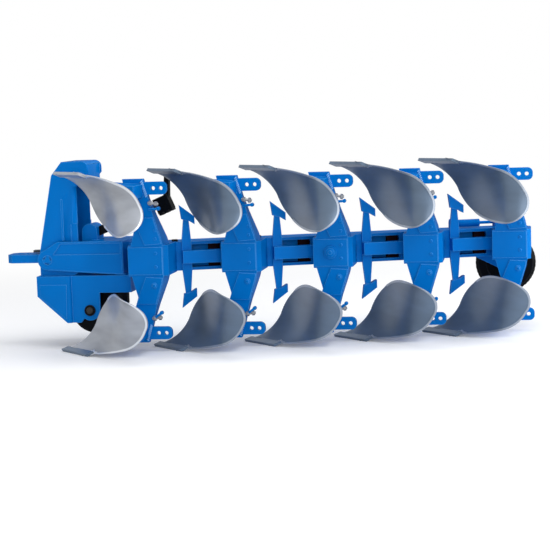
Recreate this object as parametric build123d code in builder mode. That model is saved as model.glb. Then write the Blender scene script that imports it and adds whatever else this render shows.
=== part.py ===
from build123d import *
import math
import os

# Toy reversible mouldboard plough with five pairs of bodies, in millimetres.
# X runs rearward along the turnover axis from the eye of the hitch tongue, Y points to the land
# side and Z up. The furrow side, which the mouldboards face, is -Y.

# ---- the row of bodies -------------------------------------------------------------------
body_count = 5
body_pitch = 76.0          # from one body to the next, along the main beam
beam_angle = 17.4          # the beam's angle to the direction of travel, in degrees
first_body_x = 122.8       # the first body's front bolt hole, behind the hitch eye
fit = 0.3                  # clearance between pieces that move past each other

# ---- main beam ---------------------------------------------------------------------------
beam_height = 24.0
beam_depth = 26.0
beam_wall = 2.4
beam_setback = 31.0        # from the line of the bolt holes to the beam's near face
beam_tail = 15.5           # and ends this far behind the last one
pocket_length = 25.0
pocket_height = 19.0
pocket_ahead = 32.5        # its middle, ahead of each bolt hole

# ---- legs --------------------------------------------------------------------------------
bracket_front = 22.9       # ahead of the bolt hole
bracket_face_rear = 5.3    # behind the bolt hole, on the face
bracket_rear = 9.0         # and behind its slanted rear corner
bracket_slant = 6.0
bracket_height = 25.0
bracket_plate = 0.8        # the raised plate on its face
bracket_ledge = 1.4        # left above and below the plate
leg_top = 66.5             # half height over both feet
leg_root_depth = 24.0
leg_foot_depth = 6.0
pad_thickness = 1.2
lug_length = 11.4          # from the front bolt hole to the lug's round end
lug_half_height = 5.2
lug_corner = 4.2
lug_thickness = 3.0
bolt_hole_height = 58.8
bolt_hole_radius = 1.6
bolt_hole_spacing = 6.4

# ---- plough bodies -----------------------------------------------------------------------
ground = 74.0              # the shares' cutting edges lie this far below the turnover axis
share_thickness = 2.5
board_thickness = 2.0

# ---- skimmers ----------------------------------------------------------------------------
skimmer_thickness = 3.2
skimmer_behind = 27.6      # the stem's middle, behind the bolt hole before, along the beam
skimmer_ahead = body_pitch - skimmer_behind
blade_flare = 4.5          # how far the blade stands out to the furrow side at its rear
holder_height = 10.4
holder_thickness = 8.0

# ---- headstock ---------------------------------------------------------------------------
tongue_width = 23.0
tongue_thickness = 7.0
tongue_tip = 15.0
tongue_corner = 4.5
eye_radius = 2.6
tower_half_width = 21.0
tower_top = 81.0
tower_wall = 2.4
arm_half_width = 24.5
arm_wall = 3.2
arm_rear = 90.0
pin_x = 25.0
pin_radius = 4.0
head_gap = 0.3             # running gap between the arm and the turning head
head_thickness = 8.0
head_radius = 12.0
shaft_radius = 5.0
shaft_length = 14.0
bearing_clearance = 0.05
cap_radius = 5.5
cap_height = 2.4
arm_top = 15.0
arm_bottom = -13.0
ridge_height = 4.3
rib_height = 0.5
boss_x = 58.0
boss_z = 22.0
boss_radius = 6.5
boss_half_width = 10.0
housing_top = -13.3
housing_wall = 2.8
housing_half_width = 28.0
cheek_half_width = 25.5
lug_radius = 8.5
housing_rear = 96.0
housing_floor = -27.6      # the lower edge of its rear part
axle_x = 60.2
axle_drop = 42.3
axle_radius = 3.0
axle_end_radius = 4.6
axle_end_thickness = 1.2

# ---- wheels ------------------------------------------------------------------------------
front_wheel_radius = 21.0
front_wheel_width = 9.0
front_wheel_track = 14.0   # between the middles of the two wheels
front_wheel_bevel = 1.4
rear_wheel_radius = 26.0
rear_wheel_width = 13.0
rear_wheel_bevel = 2.4
wheel_ahead = 12.889       # the rear wheel's middle, ahead of the last bolt hole
wheel_side = 70.546        # to the land side of it
wheel_z = -22.0            # and below it, working
rear_hub_radius = 3.0
swing_ahead = 53.889       # the rear wheel's arm swings about Y here, ahead of the last bolt hole
swing_side = 59.746        # the arm's face towards the beam, to the land side of it
swing_thickness = 3.6
swing_reach = 9.0          # half the bracket's length
swing_half_height = 7.0

# ---- dummy cylinder on top of the beam -----------------------------------------------------
barrel_ahead = 42.0        # its start, ahead of the last bolt hole, along the beam
barrel_length = 20.0
barrel_radius = 3.2
rod_length = 13.0
rod_radius = 1.3
saddle_radius = 4.0
saddle_length = 6.0
cylinder_y = beam_setback + 15.0
cylinder_z = beam_height / 2 + saddle_radius

cos_beam = math.cos(math.radians(beam_angle))
sin_beam = math.sin(math.radians(beam_angle))
row_length = (body_count - 1) * body_pitch
first_body_y = -row_length / 2 * sin_beam
last_body_x = first_body_x + row_length * cos_beam
last_body_y = first_body_y + row_length * sin_beam
wheel_x, wheel_y = last_body_x - wheel_ahead, last_body_y + wheel_side
swing_x, swing_inner = last_body_x - swing_ahead, last_body_y + swing_side
swing_outer = swing_inner + swing_thickness
barrel_start = row_length - barrel_ahead


def save(piece, label):
    """Name a finished piece and write it to its own file."""
    piece.label = label
    os.makedirs("parts", exist_ok=True)
    export_step(piece, f"parts/{label}.step")


def body_at(index):
    """The place of one body's front bolt hole, at the height of the turnover axis."""
    along = index * body_pitch
    return Location((first_body_x + along * cos_beam, first_body_y + along * sin_beam, 0))


def beam_at(index):
    """The same place, turned so that x runs along the beam and y away from its near face."""
    return body_at(index) * Rotation(0, 0, beam_angle)


def land_face(x):
    """Y of the main beam's land face at this X."""
    return first_body_y + (x - first_body_x) * sin_beam / cos_beam + (beam_setback + beam_depth) / cos_beam


def from_side(y):
    """Sketch plane seen from the furrow side: its x is X and its y is Z."""
    return Plane.XZ.offset(-y)


def mirrored(half):
    """A half outline of (x, z) points above the turnover axis, closed by its mirror image."""
    return half + [(x, -z) for x, z in reversed(half) if z > 0]


# ---- one lower body, at the first bolt hole: share, mouldboard and what holds them ----------
share_tip = (-83.0, 4.2)            # x and y of the cutting edge's landward end
share_sweep = 44.0                  # the cutting edge's angle to the travel direction
share_length = 41.0                 # along the cutting edge
share_chord = 6.0                   # front to back, along the travel direction
share_slope = 31.0                  # how steeply the share climbs behind its edge

# Cross-sections of the mouldboard's furrow face, front to back:
# x, then (y, z) at its lower edge, its middle and its upper edge.
board_sections = [
    (-76.0, (-8.0, -75.2), (3.0, -68.6), (15.0, -60.0)),
    (-66.0, (-18.0, -75.2), (-7.0, -68.6), (5.0, -60.0)),
    (-50.0, (-31.0, -74.4), (-12.5, -62.0), (-5.0, -38.0)),
    (-26.0, (-47.0, -74.0), (-34.0, -47.0), (-44.0, -14.0)),
    (11.0, (-54.0, -62.6), (-65.5, -41.4), (-83.0, -14.0)),
]
sweep = math.radians(share_sweep)
climb = math.radians(share_slope)
share_plane = Plane(
    origin=(share_tip[0], share_tip[1], -ground),
    x_dir=(math.cos(sweep), -math.sin(sweep), 0),
    z_dir=(-math.sin(sweep) * math.sin(climb), -math.cos(sweep) * math.sin(climb), math.cos(climb)),
)
share_skew = share_chord * math.cos(sweep)
share_width = share_chord * math.sin(sweep) / math.cos(climb)

with BuildPart() as share:
    with BuildSketch(share_plane):
        with BuildLine():
            Polyline(
                (0, 0),
                (share_length, 0),
                (share_length + share_skew, share_width),
                (share_skew, share_width),
                close=True,
            )
        make_face()
    extrude(amount=share_thickness)


def arc_centre(a, b, c):
    """Centre of the circle through three points of a plane."""
    d = 2 * (a[0] * (b[1] - c[1]) + b[0] * (c[1] - a[1]) + c[0] * (a[1] - b[1]))
    u = (
        (a[0] ** 2 + a[1] ** 2) * (b[1] - c[1])
        + (b[0] ** 2 + b[1] ** 2) * (c[1] - a[1])
        + (c[0] ** 2 + c[1] ** 2) * (a[1] - b[1])
    ) / d
    v = (
        (a[0] ** 2 + a[1] ** 2) * (c[0] - b[0])
        + (b[0] ** 2 + b[1] ** 2) * (a[0] - c[0])
        + (c[0] ** 2 + c[1] ** 2) * (b[0] - a[0])
    ) / d
    return u, v


def away_from(centre, point, distance):
    """The point moved straight away from the centre."""
    dy, dz = point[0] - centre[0], point[1] - centre[1]
    scale = 1 + distance / math.hypot(dy, dz)
    return centre[0] + dy * scale, centre[1] + dz * scale


def board_loft(reach):
    """Loft of the mouldboard's sections: from its back to its face, or out past it to the reach."""
    with BuildPart() as blank:
        for x, low, middle, high in board_sections:
            centre = arc_centre(low, middle, high)
            back = [away_from(centre, p, board_thickness) for p in (low, middle, high)]
            with BuildSketch(Plane.YZ.offset(x)):
                with BuildLine():
                    ThreePointArc(*back)
                    if reach:
                        Polyline(back[2], (-reach, back[2][1]), (-reach, back[0][1]), back[0])
                    else:
                        Line(back[2], high)
                        ThreePointArc(high, middle, low)
                        Line(low, back[0])
                make_face()
        loft()
    return blank.part


with BuildPart() as board:
    # Its outline from the side, then the curved blank trimmed to it.
    with BuildSketch(Plane.XZ.offset(-20)):
        with BuildLine():
            ThreePointArc((-74, -72), (-42, -71), (-16, -65.5))
            ThreePointArc((-16, -65.5), (-3.5, -59.2), (4.9, -48.7))
            ThreePointArc((4.9, -48.7), (7.9, -39), (5, -30.4))
            ThreePointArc((5, -30.4), (-4.5, -22.9), (-17, -20.4))
            ThreePointArc((-17, -20.4), (-29, -23), (-38.5, -30.4))
            ThreePointArc((-38.5, -30.4), (-45.4, -38.6), (-50.7, -49.3))
            ThreePointArc((-50.7, -49.3), (-60.6, -62), (-74, -69.7))
            Line((-74, -69.7), (-74, -72))
        make_face()
    extrude(amount=110)
    add(board_loft(0), mode=Mode.INTERSECT)
    add(share.part, mode=Mode.SUBTRACT)


# ---- one leg: bracket on the beam, a leg up and a leg down, feet, lugs and frogs -------------
# Half outline of the legs from the side, upwards from the bracket: x and z.
leg_outline = [
    (-20.5, 12.4),
    (-15.8, 29.5),
    (-18.5, 38.0),
    (-25.3, leg_top),
    (-8.4, leg_top),
    (-4.0, 50.0),
    (-0.5, 36.0),
    (5.0, 18.0),
    (6.0, 12.4),
]
# The raised pad on each leg's face, and the frog that carries the mouldboard: x and z.
pad_outline = [(-8.6, 13.0), (5.0, 14.0), (4.2, 18.0), (-1.2, 35.0), (-17.0, 35.0), (-15.4, 29.5)]
frog_outline = [(-8.4, -52.0), (-8.4, -62.0), (-36.0, -64.5), (-54.0, -60.5), (-45.0, -46.0), (-22.0, -42.0)]
frog_reach = 30.0
frog_back = 4.0
frog_wall = 2.4

with BuildPart() as frog:
    # A cup whose rim seats against the mouldboard's back.
    with BuildSketch(Plane.XZ.offset(-frog_back)):
        with BuildLine():
            Polyline(*frog_outline, close=True)
        make_face()
    extrude(amount=frog_back + frog_reach)
    with BuildSketch(Plane.XZ.offset(frog_wall - frog_back)):
        with BuildLine():
            Polyline(*frog_outline, close=True)
        make_face()
        offset(amount=-frog_wall, kind=Kind.INTERSECTION, mode=Mode.REPLACE)
    extrude(amount=frog_back + frog_reach, mode=Mode.SUBTRACT)
    add(board_loft(120.0), mode=Mode.SUBTRACT)
    add(share.part, mode=Mode.SUBTRACT)
    add(board.part, mode=Mode.SUBTRACT)

bracket_plan = [
    # x and y of the bracket's plan: its land end lies flat on the beam's near face
    (-bracket_front, 0),
    (bracket_face_rear, 0),
    (bracket_rear, bracket_slant),
    (bracket_rear, (beam_setback + bracket_rear * sin_beam) / cos_beam),
    (-bracket_front, (beam_setback - bracket_front * sin_beam) / cos_beam),
]

with BuildPart() as lug:
    with BuildSketch(from_side(0)) as lug_face:
        with Locations(((lug_length - 9.0) / 2, bolt_hole_height)):
            Rectangle(lug_length + 9.0, 2 * lug_half_height)
        fillet(lug_face.vertices().group_by(Axis.X)[-1], lug_corner)
        with Locations((0, bolt_hole_height), (bolt_hole_spacing, bolt_hole_height)):
            Circle(bolt_hole_radius, mode=Mode.SUBTRACT)
    extrude(amount=-lug_thickness)

with BuildPart() as leg:
    # Both legs in one outline, cut back on the land side as they leave the beam.
    with BuildSketch(from_side(0)):
        with BuildLine():
            Polyline(*mirrored(leg_outline), close=True)
        make_face()
    extrude(amount=-leg_root_depth)
    with BuildSketch(Plane.YZ.offset(-40)):
        with BuildLine():
            Polyline(
                *mirrored(
                    [
                        (0, leg_top),
                        (leg_foot_depth, leg_top),
                        (leg_foot_depth, 50.0),
                        (leg_root_depth, bracket_height / 2),
                    ]
                ),
                close=True,
            )
        make_face()
    extrude(amount=80, mode=Mode.INTERSECT)
    with BuildSketch(Plane.XY.offset(-bracket_height / 2)):
        with BuildLine():
            Polyline(*bracket_plan, close=True)
        make_face()
    extrude(amount=bracket_height)
    # A raised plate on the bracket's face, with a ledge above and below it.
    with BuildSketch(from_side(0)):
        with Locations(((bracket_face_rear - bracket_front) / 2, 0)):
            Rectangle(bracket_front + bracket_face_rear, bracket_height - 2 * bracket_ledge)
    extrude(amount=bracket_plate)
    # Pads, lugs and frogs, above and below alike.
    with BuildSketch(from_side(0)):
        for side in (1, -1):
            with BuildLine():
                Polyline(*[(x, side * z) for x, z in pad_outline], close=True)
            make_face()
    extrude(amount=pad_thickness)
    add(lug.part)
    add(mirror(lug.part, about=Plane.XY, mode=Mode.PRIVATE))
    add(frog.part)
    add(mirror(frog.part, about=Plane.XY, mode=Mode.PRIVATE))

# ---- main beam: a square tube with a window before each bracket ---------------------------
beam_start = -45.0
beam_end = row_length + beam_tail
head_x = arm_rear + head_gap + head_thickness      # the beam starts behind the turning head
cut_front = Plane(origin=(head_x, 0, 0), z_dir=(1, 0, 0))
cavity_front = Plane(origin=(head_x + beam_wall, 0, 0), z_dir=(1, 0, 0))
beam_side = Plane(beam_at(0))
beam_middle = beam_setback + beam_depth / 2

with BuildPart() as cavity:
    with BuildSketch(beam_side):
        with Locations(((beam_start + beam_end) / 2, beam_middle)):
            Rectangle(beam_end - beam_start, beam_depth - 2 * beam_wall)
    extrude(amount=beam_height / 2 - beam_wall, both=True)
    split(bisect_by=cavity_front, keep=Keep.TOP)

with BuildPart() as beam:
    with BuildSketch(beam_side):
        with Locations(((beam_start + beam_end) / 2, beam_middle)):
            Rectangle(beam_end - beam_start, beam_depth)
    extrude(amount=beam_height / 2, both=True)
    split(bisect_by=cut_front, keep=Keep.TOP)
    add(cavity.part, mode=Mode.SUBTRACT)
    with BuildSketch(beam_side):
        for index in range(1, body_count):
            with Locations((index * body_pitch - pocket_ahead, beam_setback)):
                Rectangle(pocket_length, 2 * beam_wall + 1)
    extrude(amount=pocket_height / 2, both=True, mode=Mode.SUBTRACT)
    # The bracket and pin that carry the rear wheel's arm, on the land face.
    with BuildSketch(Plane.XY.offset(-swing_half_height)):
        with BuildLine():
            Polyline(
                (swing_x - swing_reach, land_face(swing_x - swing_reach) - 1),
                (swing_x + swing_reach, land_face(swing_x + swing_reach) - 1),
                (swing_x + swing_reach, swing_inner - fit),
                (swing_x - swing_reach, swing_inner - fit),
                close=True,
            )
        make_face()
    extrude(amount=2 * swing_half_height)
    with BuildSketch(from_side(swing_inner - fit)):
        with Locations((swing_x, 0)):
            Circle(pin_radius)
    extrude(amount=-(swing_thickness + fit + 1.0))
    # Two saddles on top for the dummy cylinder: one for its barrel and one for its rod.
    for place in (barrel_start - saddle_length, barrel_start + barrel_length + rod_length):
        with BuildSketch(Plane(beam_at(0) * Location((place, cylinder_y, cylinder_z), (0, 90, 0)))):
            Circle(saddle_radius)
            with Locations((saddle_radius / 2, 0)):
                Rectangle(saddle_radius, 2 * saddle_radius)
        extrude(amount=saddle_length)
save(beam.part, "main_beam")

with BuildPart() as beam_cap:
    with BuildSketch(beam_side):
        with Locations((beam_end - beam_wall / 2, beam_middle)):
            Rectangle(beam_wall, beam_depth - 2 * beam_wall)
    extrude(amount=beam_height / 2 - beam_wall, both=True)
save(beam_cap.part, "beam_end_cap")

with BuildPart() as head:
    with BuildSketch(Plane.YZ.offset(arm_rear + head_gap)):
        Circle(head_radius)
    extrude(amount=head_thickness)
    with BuildSketch(Plane.YZ.offset(arm_rear + head_gap)):
        Circle(shaft_radius)
    extrude(amount=-shaft_length)
save(head.part, "turning_head")

# ---- the five pairs of bodies -----------------------------------------------------------
for index in range(body_count):
    number = index + 1
    place = body_at(index)
    save(leg.part.moved(place), f"leg_{number}")
    for level, form in (("lower", lambda p: p), ("upper", lambda p: mirror(p, about=Plane.XY))):
        save(form(board.part).moved(place), f"mouldboard_{level}_{number}")
        save(form(share.part).moved(place), f"share_{level}_{number}")

# ---- skimmers and their holders, ahead of all bodies but the first ------------------------
skimmer_y = beam_setback - skimmer_thickness
stem_outline = [(-4.0, 12.0), (-2.0, 31.0), (2.4, 31.0), (4.0, 12.0)]
blade_outline = [(-5.2, 42.8), (7.0, 33.2), (7.0, 26.6), (2.4, 29.5), (-3.6, 31.0)]

with BuildPart() as skimmer:
    with BuildSketch(from_side(skimmer_y)):
        with BuildLine():
            Polyline(*mirrored(stem_outline), close=True)
        make_face()
    extrude(amount=-skimmer_thickness)
    with BuildSketch(from_side(skimmer_y)):
        for side in (1, -1):
            with BuildLine():
                Polyline(*[(x, side * z) for x, z in blade_outline], close=True)
            make_face()
    extrude(amount=-skimmer_thickness)
    # The blade flares to the furrow side towards its rear edge.
    with BuildSketch(from_side(skimmer_y)):
        for side in (1, -1):
            with BuildLine():
                Polyline(*[(x, side * z) for x, z in blade_outline], close=True)
            make_face()
    extrude(amount=blade_flare)
    with BuildSketch(Plane.XY.offset(-60)):
        with BuildLine():
            Polyline(
                (-6, skimmer_y - 0.4),
                (8, skimmer_y - blade_flare),
                (8, skimmer_y - blade_flare + 2.4),
                (6, beam_setback),
                (-6, beam_setback),
                close=True,
            )
        make_face()
    extrude(amount=120, mode=Mode.INTERSECT)

# The holder's plan beside one body: from the stem's face back to the bracket.
def along_beam(x, y):
    """A point given along and away from the beam, in the body's own x and y."""
    return x * cos_beam - y * sin_beam, x * sin_beam + y * cos_beam


def on_bracket(y):
    """Where a line at this distance from the bolt holes, along the beam, meets the bracket."""
    return along_beam((-bracket_front + y * sin_beam) / cos_beam, y)


with BuildPart() as holder:
    with BuildSketch(Plane.XY.offset(-holder_height / 2)):
        with BuildLine():
            Polyline(
                along_beam(-skimmer_ahead - 4.0, skimmer_y - holder_thickness),
                along_beam(-skimmer_ahead - 4.0, skimmer_y),
                on_bracket(skimmer_y),
                on_bracket(skimmer_y - holder_thickness),
                close=True,
            )
        make_face()
    extrude(amount=holder_height)

with BuildPart() as skimmer_unit:
    add(skimmer.part.moved(Rotation(0, 0, beam_angle) * Pos(-skimmer_ahead, 0, 0)))
    add(holder.part)

for index in range(1, body_count):
    save(skimmer_unit.part.moved(body_at(index)), f"skimmer_{index + 1}")

with BuildPart() as centre_cap:
    with BuildSketch(from_side(-bracket_plate)):
        with Locations((-8.5, 0.4)):
            Circle(cap_radius)
    extrude(amount=cap_height)
    fillet(centre_cap.edges().group_by(Axis.Y)[0], 0.6)
save(centre_cap.part.moved(body_at(body_count // 2)), "centre_cap")

# ---- headstock: tongue, tower, housing and arm ------------------------------------------
web_x = 17.5               # the tower's front face at the tongue
tower_brow = (30.5, 70.0)  # x and z where the front face leans back to the top
tower_crown = 39.5         # and where the top begins
tower_rear = 62.5          # its top reaches this far
tower_round = 6.0
bevel_length = 3.8         # the side plates' bevelled rear edges, above the arm
bevel_depth = 2.0
tower_outline = [
    (web_x, housing_top),
    (web_x, 5.0),
    tower_brow,
    (tower_crown, tower_top),
    (tower_rear, tower_top),
    (tower_rear, 71.0),
    (51.0, 60.0),
    (51.0, housing_top),
]

with BuildPart() as tongue:
    with BuildSketch(Plane.XY.offset(-tongue_thickness / 2)):
        with BuildLine():
            Polyline(
                (-tongue_tip, 0),
                (-tongue_tip, tongue_width / 2 - tongue_corner),
                (-tongue_tip + tongue_corner, tongue_width / 2),
                (web_x, tongue_width / 2),
                (web_x, 0),
            )
            mirror(about=Plane.XZ)
        make_face()
        Circle(eye_radius, mode=Mode.SUBTRACT)
    extrude(amount=tongue_thickness)
save(tongue.part, "hitch_tongue")

with BuildPart() as latch:
    with BuildSketch(from_side(0)):
        with BuildLine():
            Polyline(
                (6.0, 4.6), (6.0, 6.6), (11.0, 6.6), (web_x + 0.3, 8.4), (web_x + 0.1, 6.6), (11.5, 4.6), close=True
            )
        make_face()
    extrude(amount=3.0, both=True)
save(latch.part, "hitch_latch")

with BuildPart() as tower:
    with BuildSketch(from_side(0)) as tower_side:
        with BuildLine():
            Polyline(*tower_outline, close=True)
        make_face()
        fillet(tower_side.vertices().sort_by_distance((tower_rear, 0, tower_top))[0], tower_round)
    extrude(amount=tower_half_width, both=True)
    fillet(tower.edges().filter_by(Axis.Z).group_by(Axis.X)[-1], 1.8)
    # Hollow between the side plates, open to the rear and closed at the front and the top.
    with BuildSketch(from_side(0)):
        with BuildLine():
            Polyline(
                (web_x + tower_wall, housing_top),
                (web_x + tower_wall, 5.0),
                (tower_brow[0] + tower_wall, tower_brow[1]),
                (tower_crown + tower_wall, tower_top - tower_wall),
                (70.0, tower_top - tower_wall),
                (70.0, housing_top),
                close=True,
            )
        make_face()
    extrude(amount=tower_half_width - tower_wall, both=True, mode=Mode.SUBTRACT)
    with BuildSketch(from_side(0)):
        with Locations((pin_x, 0)):
            Circle(pin_radius)
    extrude(amount=tower_half_width, both=True, mode=Mode.SUBTRACT)
    # Bevelled rear edges, and a raised rib down each side plate.
    for side in (1, -1):
        with BuildSketch(Plane.XY.offset(30.0)):
            with BuildLine():
                Polyline(
                    (51.0 - bevel_length, side * tower_half_width),
                    (51.0, side * (tower_half_width - bevel_depth)),
                    (51.0, side * tower_half_width),
                    close=True,
                )
            make_face()
        extrude(amount=30.0, mode=Mode.SUBTRACT)
    for side in (1, -1):
        with BuildSketch(from_side(-side * tower_half_width)):
            with Locations((38.5, 33.0)):
                Rectangle(1.6, 34.0)
        extrude(amount=side * rib_height)
save(tower.part, "tower")

with BuildPart() as housing:
    # A wide box at the front, and narrower cheeks behind it that carry the axle.
    with BuildSketch(from_side(0)):
        with BuildLine():
            Polyline(
                (web_x - 1.5, housing_top),
                (web_x - 1.5, -30.0),
                (41.0, -52.5),
                (45.0, -52.5),
                (45.0, housing_top),
                close=True,
            )
        make_face()
    extrude(amount=housing_half_width, both=True)
    fillet(housing.edges().filter_by(Axis.Z).group_by(Axis.X)[-1], 2.4)
    with BuildSketch(from_side(0)):
        with BuildLine():
            Polyline(
                (40.0, housing_top),
                (40.0, -52.5),
                (52.0, -52.5),
                (axle_x, -axle_drop),
                (axle_x + lug_radius, -axle_drop),
                (axle_x + lug_radius, housing_floor),
                (housing_rear, housing_floor),
                (housing_rear, housing_top),
                close=True,
            )
        make_face()
        with Locations((axle_x, -axle_drop)):
            Circle(lug_radius)
    extrude(amount=cheek_half_width, both=True)
    with BuildSketch(from_side(0)):
        with BuildLine():
            Polyline(
                (web_x - 1.5 + housing_wall, housing_top - housing_wall),
                (web_x - 1.5 + housing_wall, -60.0),
                (housing_rear - housing_wall, -60.0),
                (housing_rear - housing_wall, housing_top - housing_wall),
                close=True,
            )
        make_face()
    extrude(amount=cheek_half_width - housing_wall, both=True, mode=Mode.SUBTRACT)
    with BuildSketch(from_side(0)):
        with Locations((axle_x, -axle_drop)):
            Circle(axle_radius + bearing_clearance)
    extrude(amount=housing_half_width, both=True, mode=Mode.SUBTRACT)
save(housing.part, "axle_housing")

with BuildPart() as arm:
    # Two cheeks astride the tower, rounded about the pin, joined behind it.
    with BuildSketch(from_side(0)):
        with BuildLine():
            Polyline(
                (pin_x, -8.4),
                (arm_rear, arm_bottom),
                (arm_rear, arm_top),
                (34.0, arm_top),
                (20.0, 6.5),
                close=True,
            )
        make_face()
        with Locations((pin_x, 0)):
            Circle(8.4)
    extrude(amount=arm_half_width, both=True)
    with BuildSketch(from_side(0)):
        with BuildLine():
            Polyline((10.0, -30.0), (10.0, 30.0), (60.0, 30.0), (60.0, -30.0), close=True)
        make_face()
    extrude(amount=tower_half_width + rib_height + fit, both=True, mode=Mode.SUBTRACT)
    # Hollow from below, between the tower and the bearing.
    with BuildSketch(Plane.XY.offset(-30)):
        with Locations(((63.0 + arm_rear - shaft_length - 3.0) / 2, 0)):
            Rectangle(arm_rear - shaft_length - 3.0 - 63.0, 2 * (arm_half_width - arm_wall))
    extrude(amount=30 + arm_top - arm_wall, mode=Mode.SUBTRACT)
    # The upper band of each side is set back above a straight ridge.
    for side in (1, -1):
        with BuildSketch(from_side(-side * arm_half_width)):
            with BuildLine():
                Polyline((30.0, ridge_height), (arm_rear - 2.5, ridge_height), (arm_rear - 2.5, 13.2), (36.5, 13.2), close=True)
            make_face()
        extrude(amount=-side * 1.0, mode=Mode.SUBTRACT)
    with BuildSketch(Plane.YZ.offset(arm_rear)):
        Circle(shaft_radius + bearing_clearance)
    extrude(amount=-shaft_length - 1.0, mode=Mode.SUBTRACT)
    with BuildSketch(from_side(0)):
        with Locations((pin_x, 0)):
            Circle(pin_radius)
    extrude(amount=arm_half_width, both=True, mode=Mode.SUBTRACT)
    # The boss that carries the turnover lever.
    with BuildSketch(from_side(0)):
        with Locations((boss_x, boss_z)):
            Circle(boss_radius)
        with Locations((boss_x, (boss_z + arm_top - 1) / 2)):
            Rectangle(2 * boss_radius, boss_z - arm_top + 1)
    extrude(amount=boss_half_width, both=True)
save(arm.part, "turning_arm")

with BuildPart() as pin:
    with BuildSketch(from_side(0)):
        with Locations((pin_x, 0)):
            Circle(pin_radius)
    extrude(amount=arm_half_width + 0.6, both=True)
    # Three curved slots round the middle of each end.
    for side in (1, -1):
        with BuildSketch(from_side(-side * (arm_half_width + 0.6))):
            with Locations((pin_x, 0)):
                with PolarLocations(pin_radius - 1.1, 3, start_angle=20):
                    SlotOverall(3.4, 1.2, rotation=90)
        extrude(amount=-side * 1.6, mode=Mode.SUBTRACT)
save(pin.part, "arm_pin")

# The black turnover lever: a bar from the bearing to a ribbed grip above the turning head.
grip_x, grip_z = 120.4, 43.3
grip_size = 13.0
grip_tilt = 23.0
with BuildPart() as lever:
    with BuildSketch(from_side(0)):
        with BuildLine():
            Polyline(
                (boss_x + boss_radius, boss_z - 4.0),
                (grip_x - 4.0, grip_z - 4.0),
                (grip_x - 4.0, grip_z + 4.0),
                (boss_x + boss_radius, boss_z + 4.0),
                close=True,
            )
        make_face()
    extrude(amount=3.5, both=True)
    with BuildSketch(from_side(0)):
        with Locations(Location((grip_x, grip_z), grip_tilt)):
            Rectangle(grip_size, grip_size)
            with Locations((-4.8, -grip_size / 2), (0, -grip_size / 2), (4.8, -grip_size / 2)):
                Rectangle(2.6, 3.0)
    extrude(amount=6.0, both=True)
    with BuildSketch(from_side(0)):
        with BuildLine():
            Polyline((grip_x, 44.0), (grip_x + 1.6, 66.5), (grip_x + 5.6, 66.5), (grip_x + 5.0, 44.0), close=True)
        make_face()
    extrude(amount=3.0, both=True)
save(lever.part, "turnover_lever")

# ---- front wheels on one axle --------------------------------------------------------------
with BuildPart() as front_axle:
    with BuildSketch(from_side(0)):
        with Locations((axle_x, -axle_drop)):
            Circle(axle_radius)
    extrude(amount=cheek_half_width + fit, both=True)
    for side in (1, -1):
        with BuildSketch(from_side(side * (cheek_half_width + fit))):
            with Locations((axle_x, -axle_drop)):
                Circle(axle_end_radius)
        extrude(amount=-side * axle_end_thickness)
save(front_axle.part, "front_axle")

with BuildPart() as front_wheels:
    for side in (1, -1):
        with BuildSketch(from_side(side * front_wheel_track / 2)):
            with Locations((axle_x, -axle_drop)):
                Circle(front_wheel_radius)
                Circle(axle_radius, mode=Mode.SUBTRACT)
        extrude(amount=front_wheel_width / 2, both=True)
    rims = front_wheels.edges().filter_by(GeomType.CIRCLE).filter_by(
        lambda edge: edge.radius > front_wheel_radius - 0.1
    )
    chamfer(rims, front_wheel_bevel)
save(front_wheels.part, "front_wheels")

# ---- rear wheel on its swinging arm ----------------------------------------------------------
with BuildPart() as wheel_arm:
    with BuildSketch(from_side(swing_inner)):
        with BuildLine():
            Polyline(
                (swing_x - 5.0, 7.0), (swing_x + 6.0, 7.0), (wheel_x + 5.0, wheel_z + 3.0),
                (wheel_x + 2.0, wheel_z - 5.5), (wheel_x - 6.0, wheel_z - 4.0), (swing_x - 7.0, -5.0), close=True,
            )
        make_face()
        with Locations((wheel_x, wheel_z)):
            Circle(6.0)
        with Locations((swing_x, 0)):
            Circle(pin_radius + bearing_clearance, mode=Mode.SUBTRACT)
    extrude(amount=-swing_thickness)
    with BuildSketch(from_side(swing_outer)):
        with Locations((wheel_x, wheel_z)):
            Circle(rear_hub_radius)
    extrude(amount=-(wheel_y + rear_wheel_width / 2 + 0.6 - swing_outer))
save(wheel_arm.part, "wheel_arm")

with BuildPart() as rear_wheel:
    with BuildSketch(from_side(wheel_y)):
        with Locations((wheel_x, wheel_z)):
            Circle(rear_wheel_radius)
            Circle(rear_hub_radius + bearing_clearance, mode=Mode.SUBTRACT)
    extrude(amount=rear_wheel_width / 2, both=True)
    rims = rear_wheel.edges().filter_by(GeomType.CIRCLE).filter_by(
        lambda edge: edge.radius > rear_wheel_radius - 0.1
    )
    chamfer(rims, rear_wheel_bevel)
    for side in (1, -1):
        with BuildSketch(from_side(wheel_y - side * rear_wheel_width / 2)):
            with Locations((wheel_x, wheel_z)):
                Circle(17.0)
                Circle(6.5, mode=Mode.SUBTRACT)
        extrude(amount=-side * 3.0, mode=Mode.SUBTRACT)
save(rear_wheel.part, "rear_wheel")

# ---- the dummy cylinder on top of the beam, between two saddles -------------------------------
with BuildPart() as barrel:
    with BuildSketch(Plane(beam_at(0) * Location((barrel_start, cylinder_y, cylinder_z), (0, 90, 0)))):
        Circle(barrel_radius)
    extrude(amount=barrel_length)
    with BuildSketch(
        Plane(beam_at(0) * Location((barrel_start + barrel_length, cylinder_y, cylinder_z), (0, 90, 0)))
    ):
        Circle(rod_radius)
    extrude(amount=rod_length)
save(barrel.part, "dummy_cylinder")
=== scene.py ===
"""Looks of a toy reversible plough. Laid out as a Blender add-on and run as a script."""

import math

import bmesh
import bpy
from bpy.props import FloatProperty, IntProperty, PointerProperty, StringProperty
from bpy.types import Operator, Panel, PropertyGroup
from mathutils import Matrix, Vector


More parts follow.
